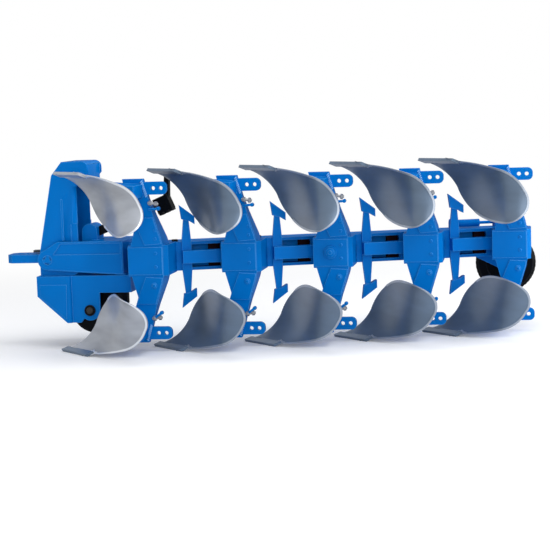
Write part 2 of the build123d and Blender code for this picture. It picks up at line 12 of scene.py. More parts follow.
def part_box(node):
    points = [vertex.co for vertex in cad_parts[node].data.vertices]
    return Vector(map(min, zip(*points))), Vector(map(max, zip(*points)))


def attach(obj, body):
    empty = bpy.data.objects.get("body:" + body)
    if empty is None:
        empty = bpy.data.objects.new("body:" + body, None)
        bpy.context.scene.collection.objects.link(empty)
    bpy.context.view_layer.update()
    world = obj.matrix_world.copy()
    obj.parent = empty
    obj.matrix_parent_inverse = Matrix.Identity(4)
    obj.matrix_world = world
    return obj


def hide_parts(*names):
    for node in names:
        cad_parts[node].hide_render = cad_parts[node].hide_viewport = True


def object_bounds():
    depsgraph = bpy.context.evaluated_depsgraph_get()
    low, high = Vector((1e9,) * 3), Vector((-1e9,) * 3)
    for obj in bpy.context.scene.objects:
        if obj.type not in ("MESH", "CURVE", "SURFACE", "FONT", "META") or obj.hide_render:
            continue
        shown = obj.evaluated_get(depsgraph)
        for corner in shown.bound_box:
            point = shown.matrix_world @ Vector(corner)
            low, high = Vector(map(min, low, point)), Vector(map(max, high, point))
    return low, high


bl_info = {
    "name": "Toy reversible plough",
    "version": (1, 0, 0),
    "blender": (4, 5, 0),
    "location": "3D View > Sidebar > Plough",
    "description": "Finishes and small moulded details of a toy reversible plough",
    "category": "Object",
}

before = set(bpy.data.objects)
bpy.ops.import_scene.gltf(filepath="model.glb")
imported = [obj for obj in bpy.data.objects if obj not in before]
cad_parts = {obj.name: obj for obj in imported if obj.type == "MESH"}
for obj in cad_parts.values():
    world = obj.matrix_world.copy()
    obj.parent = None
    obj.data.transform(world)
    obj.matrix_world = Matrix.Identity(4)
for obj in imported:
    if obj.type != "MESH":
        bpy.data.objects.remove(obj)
CAD_BOX = [list(corner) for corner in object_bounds()]

MM = 0.001

# The row of bodies, in millimetres: the first one's front bolt hole in plan, the pitch along the beam, and
# the beam's slant.
BODY_COUNT = 5
BODY_PITCH = 76.0
BEAM_ANGLE = math.radians(17.4)
FIRST_BODY = (122.8, -45.45)

# Faces of a body, as y from its bolt hole.
PLATE_FACE = -0.8           # the bracket's raised plate
PAD_FACE = -1.2             # the leg's pads
FOOT_FACE = -0.4            # where the bolts and stops sit on the feet

FLIP = Matrix.Diagonal((1, 1, -1, 1))
FACING = Matrix.Rotation(math.radians(90), 4, "X")      # turns a shape's top to the furrow side
ALONG = Matrix.Rotation(math.radians(90), 4, "Y")       # turns a shape's top rearward


# ---- sizes and colours -------------------------------------------------------------------
class FinishSettings(PropertyGroup):
    """Colours, and the radius that the moulds leave."""

    blue: StringProperty(name="Blue", description="Moulded body colour", default="#006CBE")
    # Pale blue of the painted highlight along the blue edges, and of the teeth's painted glints.
    highlight_blue: StringProperty(name="Worn blue", description="Blue of rubbed edges", default="#62B2F0")
    # The first pair's boards are painted paler than the rest, as a painted reflection.
    first_pair_reflection: StringProperty(name="Bright coat", description="Boards of body 1", default="#A6ABB4")
    dark_coat: StringProperty(name="Dark coat", description="Boards of bodies 2 to 5", default="#607389")
    # Grey of the dark boards' rims: a painted highlight along their edges.
    rim_highlight_grey: StringProperty(name="Rim coat", description="Rims of the dark boards", default="#98A2B0")
    # Paler still: the painted highlight on the first boards' rims and along the teeth's edges.
    pale_highlight: StringProperty(name="Bright rim", description="Rims of the first boards", default="#D3D8DF")
    zinc: StringProperty(name="Zinc", description="Shear bolts and nuts", default="#9A9DA2")
    burnished: StringProperty(name="Steel", description="The front axle's riveted ends", default="#25221F")
    # Dark red of the blocks that stand in the beam's windows as painted shade for its shadowed inside.
    shade_plum: StringProperty(name="Maroon", description="Packings in the beam's windows", default="#1C0A12")
    black: StringProperty(name="Black", description="Wheels and turnover lever", default="#090B0F")
    # The hitch latch's grey, also the painted highlight along the black and dark red edges.
    grey: StringProperty(name="Grey", description="Hitch latch", default="#3C4146")
    edge_round: FloatProperty(
        name="Edge round",
        description="Radius that a mould leaves on an edge",
        default=0.35 * MM,
        unit="LENGTH",
    )


class DetailSettings(PropertyGroup):
    """Sizes of the small moulded details, in metres."""

    bolt_radius: FloatProperty(
        name="Bolt radius",
        description="Round heads moulded on the brackets and legs",
        default=1.35 * MM,
        unit="LENGTH",
    )
    bolt_height: FloatProperty(
        name="Bolt height",
        description="How far those heads stand out",
        default=0.7 * MM,
        unit="LENGTH",
    )
    pivot_radius: FloatProperty(
        name="Pivot radius",
        description="Round disc on each lower pad",
        default=2.5 * MM,
        unit="LENGTH",
    )
    # The rim is a raised band painted pale as a highlight along the board's edge.
    rim_width: FloatProperty(
        name="Rim width",
        description="Bright rim round each mouldboard",
        default=1.6 * MM,
        unit="LENGTH",
    )
    rim_height: FloatProperty(
        name="Rim height",
        description="How far the rim stands out",
        default=0.35 * MM,
        unit="LENGTH",
    )
    tower_round: FloatProperty(
        name="Tower round",
        description="Radius of the tower's top rear corners",
        default=6.5 * MM,
        unit="LENGTH",
    )
    tread_bars: IntProperty(name="Tread bars", description="Bars round the rear tyre", default=44)


class StageSettings(PropertyGroup):
    """The lens and the light."""

    lens: FloatProperty(
        name="Lens", description="Focal length on a 36 mm sensor", default=98.18, unit="CAMERA"
    )
    top_power: FloatProperty(name="Top", description="Power of the top lamp", default=7.0, unit="POWER")
    side_power: FloatProperty(name="Side", description="Power of the side lamp", default=19.0, unit="POWER")
    front_power: FloatProperty(
        name="Front", description="Power of the front lamp", default=13.0, unit="POWER"
    )
    world_light: FloatProperty(name="World", description="Even light from all round", default=0.48)
    floor_lift: FloatProperty(
        name="Floor lift", description="How much paler the floor looks than it is lit", default=0.1
    )


# ---- materials -----------------------------------------------------------------------------
# Sizes of the patterns in millimetres.
TONE_FLOW = 40.0            # slow drift of tone in a moulding
# The metal films' drifts stand partly for uneven tone and partly for painted cloudy reflection.
TONE_AND_REFLECTION_DRIFT = 22.0          # from one thick place of a sprayed coat to the next
FLAKE = 0.5                 # a real flake is about a tenth of this, too fine to show
RELIEF = 0.05               # how deep the orange peel and the flake are


def linear(hex_colour):
    """Linear RGBA of an sRGB hex colour."""
    values = [int(hex_colour[i : i + 2], 16) / 255 for i in (1, 3, 5)]
    return [v / 12.92 if v <= 0.04045 else ((v + 0.055) / 1.055) ** 2.4 for v in values] + [1.0]


def add_node(tree, kind, settings=None, links=None):
    """A node with its attributes or input values set, and its inputs linked."""
    node = tree.nodes.new(kind)
    for key, value in (settings or {}).items():
        if isinstance(key, int) or key in node.inputs:
            node.inputs[key].default_value = value
        else:
            setattr(node, key, value)
    for key, socket in (links or {}).items():
        tree.links.new(socket, node.inputs[key])
    return node


def new_material(name):
    """An empty node material, its tree and its output node."""
    material = bpy.data.materials.new(name)
    material.use_nodes = True
    tree = material.node_tree
    tree.nodes.clear()
    return material, tree, tree.nodes.new("ShaderNodeOutputMaterial")


def moulded_plastic(name, colour, edge_highlight, roughness, gloss, peel):
    """Injection-moulded plastic: an even colour with a faint flow of tone, a thin polished skin that gleams
    softly, orange peel of this many millimetres, and rounded edges painted paler as a painted highlight."""
    edge_round = bpy.context.scene.plough_finish.edge_round
    material, tree, output = new_material(name)
    place = add_node(tree, "ShaderNodeTexCoord").outputs["Object"]
    flow = add_node(
        tree, "ShaderNodeTexNoise", {"Scale": 1 / (TONE_FLOW * MM), "Detail": 2.0}, {"Vector": place}
    )
    base = linear(colour)
    tone = add_node(tree, "ShaderNodeValToRGB", {}, {"Fac": flow.outputs["Fac"]})
    dim, full = tone.color_ramp.elements
    dim.position, dim.color = 0.3, [0.9 * v for v in base[:3]] + [1.0]
    full.position, full.color = 0.7, base
    skin = add_node(
        tree, "ShaderNodeTexNoise", {"Scale": 1 / (peel * MM), "Detail": 3.0}, {"Vector": place}
    )
    rough = add_node(
        tree,
        "ShaderNodeMapRange",
        {"To Min": roughness - 0.05, "To Max": roughness + 0.06},
        {"Value": skin.outputs["Fac"]},
    )
    edge = add_node(tree, "ShaderNodeBevel", {"samples": 4, "Radius": edge_round})
    # An edge is where the rounded normal leaves the face's own. Its painted highlight starts where they are
    # 10 degrees apart and is strongest at 26, and is drawn twice as wide as the edge is, to show.
    wide = add_node(tree, "ShaderNodeBevel", {"samples": 4, "Radius": 2 * edge_round})
    flat = add_node(tree, "ShaderNodeNewGeometry")
    same = add_node(
        tree,
        "ShaderNodeVectorMath",
        {"operation": "DOT_PRODUCT"},
        {0: wide.outputs["Normal"], 1: flat.outputs["Normal"]},
    )
    highlight_mask = add_node(
        tree,
        "ShaderNodeMapRange",
        {"From Min": 0.985, "From Max": 0.90, "To Min": 0.0, "To Max": 0.5},
        {"Value": same.outputs["Value"]},
    )
    # The tone with the edges' painted highlight laid over it.
    tone_and_highlight = add_node(
        tree,
        "ShaderNodeMix",
        {"data_type": "RGBA", "B": linear(edge_highlight)},
        {"Factor": highlight_mask.outputs["Result"], "A": tone.outputs["Color"]},
    )
    bump = add_node(
        tree,
        "ShaderNodeBump",
        {"Strength": 0.12, "Distance": RELIEF * MM},
        {"Height": skin.outputs["Fac"], "Normal": edge.outputs["Normal"]},
    )
    # All the sheen is the skin's. A second one below it would whiten faces seen at a flat angle.
    shader = add_node(
        tree,
        "ShaderNodeBsdfPrincipled",
        {"IOR": 1.53, "Specular IOR Level": 0.0, "Coat Weight": gloss, "Coat Roughness": roughness},
        {
            "Base Color": tone_and_highlight.outputs[2],
            "Roughness": rough.outputs["Result"],
            "Normal": bump.outputs["Normal"],
            "Coat Normal": bump.outputs["Normal"],
        },
    )
    tree.links.new(shader.outputs["BSDF"], output.inputs["Surface"])
    return material


def metal_film(name, colour, roughness, drift_depth=0.15):
    """A sprayed or plated metal film: it gleams softly under a thin clear coat, with a fine flake and long
    level drifts of paler and darker tone, partly its own uneven tone and partly painted cloudy reflection."""
    edge_round = bpy.context.scene.plough_finish.edge_round
    material, tree, output = new_material(name)
    place = add_node(tree, "ShaderNodeTexCoord").outputs["Object"]
    # The drifts lie level, three times as long as they are high.
    level = add_node(
        tree, "ShaderNodeMapping", {"vector_type": "POINT", "Scale": (0.33, 0.33, 1.0)}, {"Vector": place}
    )
    drift = add_node(
        tree,
        "ShaderNodeTexNoise",
        {"Scale": 1 / (TONE_AND_REFLECTION_DRIFT * MM), "Detail": 3.0},
        {"Vector": level.outputs["Vector"]},
    )
    base = linear(colour)
    tone = add_node(tree, "ShaderNodeValToRGB", {}, {"Fac": drift.outputs["Fac"]})
    # The drifts' darker and paler ends, partly painted reflection.
    thin, thick = tone.color_ramp.elements
    thin.position, thin.color = 0.3, [(1 - drift_depth) * v for v in base[:3]] + [1.0]
    thick.position, thick.color = 0.75, [min(1.0, 1.12 * v) for v in base[:3]] + [1.0]
    flake = add_node(
        tree, "ShaderNodeTexNoise", {"Scale": 1 / (FLAKE * MM), "Detail": 1.0}, {"Vector": place}
    )
    rough = add_node(
        tree,
        "ShaderNodeMapRange",
        {"To Min": roughness - 0.04, "To Max": roughness + 0.06},
        {"Value": flake.outputs["Fac"]},
    )
    edge = add_node(tree, "ShaderNodeBevel", {"samples": 4, "Radius": edge_round})
    bump = add_node(
        tree,
        "ShaderNodeBump",
        {"Strength": 0.08, "Distance": RELIEF * MM},
        {"Height": flake.outputs["Fac"], "Normal": edge.outputs["Normal"]},
    )
    shader = add_node(
        tree,
        "ShaderNodeBsdfPrincipled",
        {"Metallic": 0.55, "Coat Weight": 0.25, "Coat Roughness": 0.2},
        {
            "Base Color": tone.outputs["Color"],
            "Roughness": rough.outputs["Result"],
            "Normal": bump.outputs["Normal"],
        },
    )
    tree.links.new(shader.outputs["BSDF"], output.inputs["Surface"])
    return material


def dress(obj, material):
    """The object's one material."""
    obj.data.materials.clear()
    obj.data.materials.append(material)


# ---- places: each turns its own millimetres into metres --------------------------------------
def spot(x, y, z):
    """Place at this point of the frame."""
    return Matrix.Scale(MM, 4) @ Matrix.Translation((x, y, z))


def body_place(index):
    """Place at a body's front bolt hole."""
    along = index * BODY_PITCH
    x = FIRST_BODY[0] + along * math.cos(BEAM_ANGLE)
    y = FIRST_BODY[1] + along * math.sin(BEAM_ANGLE)
    return spot(x, y, 0)


def beam_place(index, x, y, z=0.0):
    """Place with x along the beam from a body's bolt hole, y square to the beam and z up."""
    return body_place(index) @ Matrix.Rotation(BEAM_ANGLE, 4, "Z") @ Matrix.Translation((x, y, z))


def facing(index, x, z, y, level=1, turn=0.0):
    """Place facing the furrow side at this x, z and y of a body, for its upper half with level 1 and its
    lower half with -1, and turned by this many degrees."""
    mirror = FLIP if level < 0 else Matrix.Identity(4)
    spin = Matrix.Rotation(math.radians(turn), 4, "Z")
    return body_place(index) @ mirror @ Matrix.Translation((x, y, z)) @ FACING @ spin


def side_place(node, side, x, z, turn=0.0):
    """Place facing outwards on a headstock piece at this x and z, turned by this many degrees. It is on the
    furrow side with side 1 and on the land side with -1."""
    mirror = Matrix.Diagonal((1, side, 1, 1))
    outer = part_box(node)[0].y / MM
    spin = Matrix.Rotation(math.radians(turn), 4, "Z")
    return Matrix.Scale(MM, 4) @ mirror @ Matrix.Translation((x, outer, z)) @ FACING @ spin


# ---- shapes, in the millimetres of their place -----------------------------------------------
def settle(bm, known, place):
    """Move everything made since the known vertices to its place."""
    bmesh.ops.transform(bm, matrix=place, verts=[v for v in bm.verts if v not in known])


def round_over(bm, edges, radius):
    """Round the edges with a small radius."""
    bmesh.ops.bevel(
        bm, geom=list(edges), offset=radius, segments=2, profile=0.5, affect="EDGES", material=-1
    )


def stud(bm, place, radius, height, rounding, segments=24):
    """A round head with its back on the place's floor and a rounded top."""
    known = set(bm.verts)
    verts = bmesh.ops.create_cone(
        bm, cap_ends=True, segments=segments, radius1=radius, radius2=radius, depth=height
    )["verts"]
    bmesh.ops.translate(bm, vec=(0, 0, height / 2), verts=verts)
    top = {e for v in verts for e in v.link_edges if all(w.co.z > 0.9 * height for w in e.verts)}
    round_over(bm, top, rounding)
    settle(bm, known, place)


def block(bm, place, size, rounding):
    """A box centred on its place, with rounded edges."""
    known = set(bm.verts)
    verts = bmesh.ops.create_cube(bm, size=1.0)["verts"]
    bmesh.ops.scale(bm, vec=size, verts=verts)
    round_over(bm, {e for v in verts for e in v.link_edges}, rounding)
    settle(bm, known, place)


def plate(bm, place, outline, thickness, rounding):
    """A plate with this outline in x and y, raised along z and rounded round its top."""
    known = set(bm.verts)
    face = bm.faces.new([bm.verts.new((x, y, 0)) for x, y in outline])
    made = bmesh.ops.extrude_face_region(bm, geom=[face], use_keep_orig=True)["geom"]
    top = [item for item in made if isinstance(item, bmesh.types.BMVert)]
    bmesh.ops.translate(bm, vec=(0, 0, thickness), verts=top)
    round_over(bm, {e for v in top for e in v.link_edges if all(w in top for w in e.verts)}, rounding)
    settle(bm, known, place)


def new_piece(name, bm, body, finish):
    """The piece made of this bmesh, with smooth rounds, its finish and the body that it rides on."""
    bmesh.ops.recalc_face_normals(bm, faces=bm.faces)
    mesh = bpy.data.meshes.new(name)
    bm.to_mesh(mesh)
    bm.free()
    mesh.shade_smooth()
    mesh.set_sharp_from_angle(angle=math.radians(35))
    piece = bpy.data.objects.new(name, mesh)
    bpy.context.scene.collection.objects.link(piece)
    dress(piece, bpy.data.materials[finish])
    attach(piece, body)
    return piece


# ---- pieces ----------------------------------------------------------------------------------
def copy_of(node):
    """A bmesh of a CAD node's mesh, with its loose triangles joined."""
    bm = bmesh.new()
    bm.from_mesh(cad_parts[node].data)
    bmesh.ops.remove_doubles(bm, verts=bm.verts, dist=0.005 * MM)
    return bm


class PLOUGH_OT_tower_shell(Operator):
    """Round the tower's upper rear corners and close its back below the crown"""

    bl_idname = "plough.tower_shell"
    bl_label = "Tower shell"

    def execute(self, context):
        bm = copy_of("tower")
        bmesh.ops.dissolve_limit(
            bm, angle_limit=math.radians(1), use_dissolve_boundaries=False, verts=bm.verts, edges=bm.edges
        )
        # The round is made of flats that touch a circle set in the corner.
        flats = 7
        radius = context.scene.plough_detail.tower_round
        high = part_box("tower")[1]
        centre = Vector((high.x - radius, 0, high.z - radius))
        for flat in range(1, flats + 1):
            angle = math.radians(90) * flat / (flats + 1)
            out = Vector((math.cos(angle), 0, math.sin(angle)))
            bmesh.ops.bisect_plane(
                bm,
                geom=[*bm.verts, *bm.edges, *bm.faces],
                plane_co=centre + radius * out,
                plane_no=out,
                clear_outer=True,
            )
            bmesh.ops.holes_fill(bm, edges=bm.edges, sides=0)
        # A short wall between the cheeks, let in from the rear and reaching up into the crown.
        wall = (2.0, 38.2, 16.4)
        block(bm, spot(high.x / MM - 2.6, 0, high.z / MM - 10.8), wall, rounding=0.3)
        shell = new_piece("tower_shell", bm, "headstock", "blue_abs")
        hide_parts("tower")
        return {"FINISHED"}


# In millimetres: how far each upper board's low end is drawn up, and how far above it the rise dies out.
UPPER_RISE = (4.8, 4.0, 2.2, 2.2, 2.4)
RISE_REACH = 20.0


def board_mesh(level, number):
    """A mouldboard's copy. An upper one's low end is drawn up, and what is above it less and less."""
    bm = copy_of(f"mouldboard_{level}_{number}")
    if level == "upper":
        rise = UPPER_RISE[number - 1] * MM
        reach = RISE_REACH * MM
        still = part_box(f"mouldboard_upper_{number}")[0].z + reach
        for vert in bm.verts:
            if vert.co.z < still:
                vert.co.z += rise * ((still - vert.co.z) / reach) ** 2
    return bm


class PLOUGH_OT_upper_boards(Operator):
    """Draw up the low ends of the upper mouldboards"""

    bl_idname = "plough.upper_boards"
    bl_label = "Upper boards"

    def execute(self, context):
        for number in range(1, BODY_COUNT + 1):
            # The first pair is painted paler, as a painted reflection.
            finish = "painted_reflection_silver" if number == 1 else "dark_silver_lacquer"
            bm = board_mesh("upper", number)
            board = new_piece(f"upper_board_{number}", bm, "plough_frame", finish)
            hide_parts(f"mouldboard_upper_{number}")
        return {"FINISHED"}


class PLOUGH_OT_bolt_heads(Operator):
    """Mould the round bolt heads and pivot discs on the brackets and legs"""

    bl_idname = "plough.bolt_heads"
    bl_label = "Bolt heads"

    def execute(self, context):
        detail = context.scene.plough_detail
        radius, height = detail.bolt_radius / MM, detail.bolt_height / MM
        pivot = detail.pivot_radius / MM
        # x and z from the body's bolt hole, and the face that each head stands on.
        heads = (
            (0.2, 6.2, PLATE_FACE),
            (0.2, -4.7, PLATE_FACE),
            (0.6, 25.0, PAD_FACE),
            (0.4, 18.0, PAD_FACE),
        )
        bm = bmesh.new()
        for index in range(BODY_COUNT):
            for x, z, y in heads:
                stud(bm, facing(index, x, z, y), radius, height, rounding=0.35)
            # A pivot's disc with a smaller one on it.
            disc = facing(index, -1.8, -20.0, PAD_FACE)
            stud(bm, disc, pivot, height=0.5, rounding=0.3, segments=32)
            stud(bm, disc @ Matrix.Translation((0, 0, 0.5)), 0.55 * pivot, height=0.5, rounding=0.3)
        # A domed boss and a pin's head on the middle bracket's cap.
        low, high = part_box("centre_cap")
        middle = (low + high) / (2 * MM)
        boss = spot(middle.x, low.y / MM, middle.z) @ FACING
        stud(bm, boss, radius=3.9, height=1.3, rounding=0.6, segments=32)
        stud(bm, boss @ Matrix.Translation((0, 0, 1.3)), radius=1.7, height=0.7, rounding=0.4)
        new_piece("bolt_heads", bm, "plough_frame", "blue_abs")
        return {"FINISHED"}


class PLOUGH_OT_shear_bolts(Operator):
    """Set a bright shear bolt with two nuts and a moulded stop by every foot"""

    bl_idname = "plough.shear_bolts"
    bl_label = "Shear bolts"

    def execute(self, context):
        bolts, stops = bmesh.new(), bmesh.new()
        for index in range(BODY_COUNT):
            for level in (1, -1):
                # The bolt lies almost level by the foot, with its two nuts on it.
                bolt = facing(index, -4.6, 47.0, FOOT_FACE, level, turn=-8)
                stud(bolts, bolt @ ALONG, radius=1.1, height=8.6, rounding=0.3, segments=16)
                for reach in (1.0, 5.6):
                    nut = bolt @ Matrix.Translation((reach, 0, 0)) @ ALONG
                    stud(bolts, nut, radius=2.1, height=2.2, rounding=0.4, segments=6)
                # The stop is a short arm with a round end, steeper on the lower feet.
                height, slope = (42.1, 4) if level > 0 else (44.4, -36)
                arm = facing(index, 0.2, height, FOOT_FACE, level, slope)
                block(stops, arm, (8.8, 2.0, 3.4), rounding=0.6)
                end = arm @ Matrix.Translation((3.8, 0, -1.5))
                stud(stops, end, radius=1.6, height=3.4, rounding=0.6, segments=16)
        new_piece("shear_bolts", bolts, "plough_frame", "zinc_plate")
        new_piece("bolt_stops", stops, "plough_frame", "blue_abs")
        return {"FINISHED"}


class PLOUGH_OT_foot_teeth(Operator):
    """Mould the row of adjusting teeth on the furrow face of every foot"""

    bl_idname = "plough.foot_teeth"
    bl_label = "Foot teeth"

    def execute(self, context):
        bm = bmesh.new()
        count = 9
        bottom, top = Vector((-5.6, 52.6)), Vector((-9.2, 64.2))        # x and z of the row's ends
        row = top - bottom
        slant = 30 - math.degrees(math.atan2(row.x, row.y))             # the teeth lie askew on their row
        for index in range(BODY_COUNT):
            for level in (1, -1):
                for tooth in range(count):
                    x, z = bottom.lerp(top, tooth / (count - 1))
                    block(bm, facing(index, x, z, 0.0, level, slant), (2.3, 0.9, 2.0), rounding=0.3)
        # The teeth's pale blue is a painted highlight for their glints.
        new_piece("foot_teeth", bm, "plough_frame", "painted_teeth_highlight")
        return {"FINISHED"}


class PLOUGH_OT_board_rims(Operator):
    """Raise a bright rim round each mouldboard's free edges, painted pale as a highlight of the light along
    the board's edge
    """

    bl_idname = "plough.board_rims"
    bl_label = "Board rims"

    def execute(self, context):
        detail = context.scene.plough_detail
        for level in ("lower", "upper"):
            for number in range(1, BODY_COUNT + 1):
                # Every rim is a painted highlight, and the first pair's is paler still.
                finish = "painted_bright_rim_highlight" if number == 1 else "painted_rim_highlight"
                bm = self.rim(board_mesh(level, number), number - 1, detail)
                new_piece(f"board_rim_{level}_{number}", bm, "plough_frame", finish)
        return {"FINISHED"}

    def rim(self, bm, index, detail):
        """A band along the furrow face's border, but not along the leading edge. It starts behind the shin,
        or by the share further forward, behind the joint."""
        shin, joint, near_share = -36.0, -52.0, 64.0
        face = self.furrow_face(bm)
        bmesh.ops.delete(bm, geom=[f for f in bm.faces if f not in face], context="FACES")
        band = bmesh.ops.inset_region(
            bm, faces=bm.faces[:], thickness=detail.rim_width, use_boundary=True, use_even_offset=True
        )["faces"]
        to_body = body_place(index).inverted()
        kept = set()
        for item in band:
            middle = to_body @ item.calc_center_median()
            start = joint if abs(middle.z) > near_share else shin
            if middle.x > start:
                kept.add(item)
        bmesh.ops.delete(bm, geom=[f for f in bm.faces if f not in kept], context="FACES")
        bmesh.ops.solidify(bm, geom=bm.faces[:], thickness=-detail.rim_height)
        for vert in bm.verts:
            vert.co.z = max(vert.co.z, CAD_BOX[0][2])      # no corner of it under the floor
        return bm

    def furrow_face(self, bm):
        """The smooth region of faces that looks to the furrow side and has the greatest area."""
        smooth = math.radians(25)
        left, best, best_area = set(bm.faces), set(), 0.0
        while left:
            seed = left.pop()
            region, frontier = {seed}, [seed]
            while frontier:
                current = frontier.pop()
                for edge in current.edges:
                    for other in edge.link_faces:
                        if other in left and other.normal.angle(current.normal, 0.0) < smooth:
                            left.discard(other)
                            region.add(other)
                            frontier.append(other)
            area = sum(-f.normal.y * f.calc_area() for f in region)
            if area > best_area:
                best, best_area = region, area
        return best


class PLOUGH_OT_beam_fittings(Operator):
    """Fit the beam's window liners and dark blocks of painted shade, the clips on its top and the frame at
    its end
    """

    bl_idname = "plough.beam_fittings"
    bl_label = "Beam fittings"

    def execute(self, context):
        dark, black, blue = bmesh.new(), bmesh.new(), bmesh.new()
        for index in range(1, BODY_COUNT):
            # Each window has a blue liner and, behind it, a dark block of painted shade for the beam's
            # shadowed inside.
            block(blue, beam_place(index, -39.0, 46.5), (19.0, 12.0, 18.8), rounding=0.4)
            block(dark, beam_place(index, -25.0, 44.0), (9.0, 18.0, 18.8), rounding=0.4)
        for along, size in ((88.5, (4.6, 5.0, 2.6)), (18.5, (5.0, 4.0, 1.8))):
            block(black, beam_place(0, along, 35.5, 13.0), size, rounding=0.5)
        # Four bars make a frame 26 wide and 24 high round the beam's end.
        end = (BODY_COUNT - 1) * BODY_PITCH + 17.5
        middle = 44.0
        depth, bar = 4.6, 2.0
        width, height = 26.0, 24.0
        for z in ((height - bar) / 2, (bar - height) / 2):
            block(blue, beam_place(0, end, middle, z), (depth, width, bar), rounding=0.4)
        for y in (middle + (bar - width) / 2, middle + (width - bar) / 2):
            block(blue, beam_place(0, end, y), (depth, bar, height), rounding=0.4)
        # The dark blocks are painted shade.
        new_piece("window_shade_blocks", dark, "plough_frame", "painted_window_shade")
        new_piece("beam_clips", black, "plough_frame", "black_polyethylene")
        new_piece("beam_end_frame", blue, "plough_frame", "blue_abs")
        return {"FINISHED"}


class PLOUGH_OT_headstock_details(Operator):
    """Add the headstock's panels, beads, stop block and axle rivets"""

    bl_idname = "plough.headstock_details"
    bl_label = "Headstock details"

    def execute(self, context):
        blue, black, steel = bmesh.new(), bmesh.new(), bmesh.new()
        panel = ((18.4, -20.4), (18.4, -30.4), (40.6, -49.2), (41.6, -20.4))
        bead_width, bead_depth = 1.1, 0.9
        low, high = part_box("front_axle")
        axle = (low + high) / (2 * MM)
        for side in (1, -1):
            # A thin raised panel on the housing's front.
            plate(blue, side_place("axle_housing", side, 0, 0), panel, thickness=0.35, rounding=0.15)
            # A bead along the arm's top, one along its foot and a broader one down its end.
            top = side_place("turning_arm", side, 63.5, 14.4)
            block(blue, top, (52.0, bead_width, bead_depth), rounding=0.3)
            foot = side_place("turning_arm", side, 58.5, -10.4, turn=-4)
            block(blue, foot, (66.0, bead_width, bead_depth), rounding=0.3)
            end = side_place("turning_arm", side, 88.9, 1.0)
            block(blue, end, (1.6, 26.0, bead_depth), rounding=0.3)
            # The axle's riveted end.
            rivet = side_place("front_axle", side, axle.x, axle.z)
            stud(steel, rivet, radius=2.9, height=0.7, rounding=0.5, segments=28)
        # A short upright bead on each of the tower's cheeks.
        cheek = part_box("tower")[1].y / MM - 0.3
        for y in (cheek, -cheek):
            block(blue, spot(45.6, y, 22.0), (1.3, 1.2, 14.0), rounding=0.3)
        # The black block that fills the housing's opening behind the wheel.
        block(black, spot(87.4, -18.0, -27.0), (8.4, 7.0, 22.0), rounding=1.2)
        new_piece("headstock_beads", blue, "headstock", "blue_abs")
        new_piece("bearing_stop", black, "headstock", "black_polyethylene")
        new_piece("axle_rivets", steel, "headstock", "burnished_steel")
        return {"FINISHED"}


class PLOUGH_OT_tyre_tread(Operator):
    """Mould the tread on the rear tyre"""

    bl_idname = "plough.tyre_tread"
    bl_label = "Tyre tread"

    def execute(self, context):
        bars = context.scene.plough_detail.tread_bars
        low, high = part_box("rear_wheel")
        hub = (low + high) / (2 * MM)
        radius = (high.x - low.x) / (2 * MM)
        sunk, aside, lean = 0.15, 2.1, 24       # how each bar lies in its half of the tyre
        bm = bmesh.new()
        for bar in range(bars):
            turn = Matrix.Rotation(2 * math.pi * bar / bars, 4, "Y")
            for side in (1, -1):
                place = spot(*hub) @ turn @ Matrix.Translation((radius - sunk, side * aside, 0))
                place = place @ Matrix.Rotation(math.radians(side * lean), 4, "X")
                block(bm, place, (0.7, 3.8, 1.7), rounding=0.2)
        new_piece("rear_tyre_tread", bm, "rear_wheel", "black_polyethylene")
        return {"FINISHED"}


class PLOUGH_OT_finishes(Operator):
    """Give every moulded piece its plastic or its silver coat"""

    bl_idname = "plough.finishes"
    bl_label = "Finishes"

    def execute(self, context):
        finish = context.scene.plough_finish
        # Blue ABS: clean, even and satin, with a pale painted highlight along each edge.
        blue = moulded_plastic(
            "blue_abs", finish.blue, finish.highlight_blue, roughness=0.22, gloss=0.1, peel=0.7
        )
        # The teeth are painted pale all over, a painted highlight for their glints, so they read as a
        # bright row.
        moulded_plastic(
            "painted_teeth_highlight", finish.highlight_blue, finish.pale_highlight, roughness=0.22, gloss=0.3, peel=0.7
        )
        # Black polyethylene: waxy and dull, so the tread shows only by the grey painted highlight along its
        # edges.
        black = moulded_plastic(
            "black_polyethylene", finish.black, finish.grey, roughness=0.36, gloss=0.12, peel=0.5
        )
        # Grey ABS has a soft shine and a zinc-grey painted highlight along its edges. The dark red blocks
        # deep in the windows are painted shade, with almost no shine.
        grey = moulded_plastic("grey_abs", finish.grey, finish.zinc, roughness=0.35, gloss=0.4, peel=0.6)
        moulded_plastic("painted_window_shade", finish.shade_plum, finish.grey, roughness=0.5, gloss=0.1, peel=0.6)
        # Silver lacquer: cloudy and soft, like blued steel on most boards and painted pale on the first
        # pair as a painted reflection.
        bright = metal_film("painted_reflection_silver", finish.first_pair_reflection, roughness=0.38, drift_depth=0.5)
        dark = metal_film("dark_silver_lacquer", finish.dark_coat, roughness=0.40, drift_depth=0.3)
        # The boards' rims are painted paler, a painted highlight that shows as a thin line.
        metal_film("painted_rim_highlight", finish.rim_highlight_grey, roughness=0.35)
        metal_film("painted_bright_rim_highlight", finish.pale_highlight, roughness=0.3)
        # Zinc plate glints grey on the bolts. The axle's burnished ends are almost black.
        metal_film("zinc_plate", finish.zinc, roughness=0.32)
        metal_film("burnished_steel", finish.burnished, roughness=0.4)
        special = {
            "front_axle": black,
            "front_wheels": black,
            "rear_wheel": black,
            "turnover_lever": black,
            "hitch_latch": grey,
        }
        for name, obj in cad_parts.items():
            coated = name.startswith(("mouldboard", "share"))
            # The first pair is painted bright as a painted reflection, apart from the lower one's share.
            coat = bright if name.endswith("_1") and name != "share_lower_1" else dark
            dress(obj, special.get(name, coat if coated else blue))
        return {"FINISHED"}


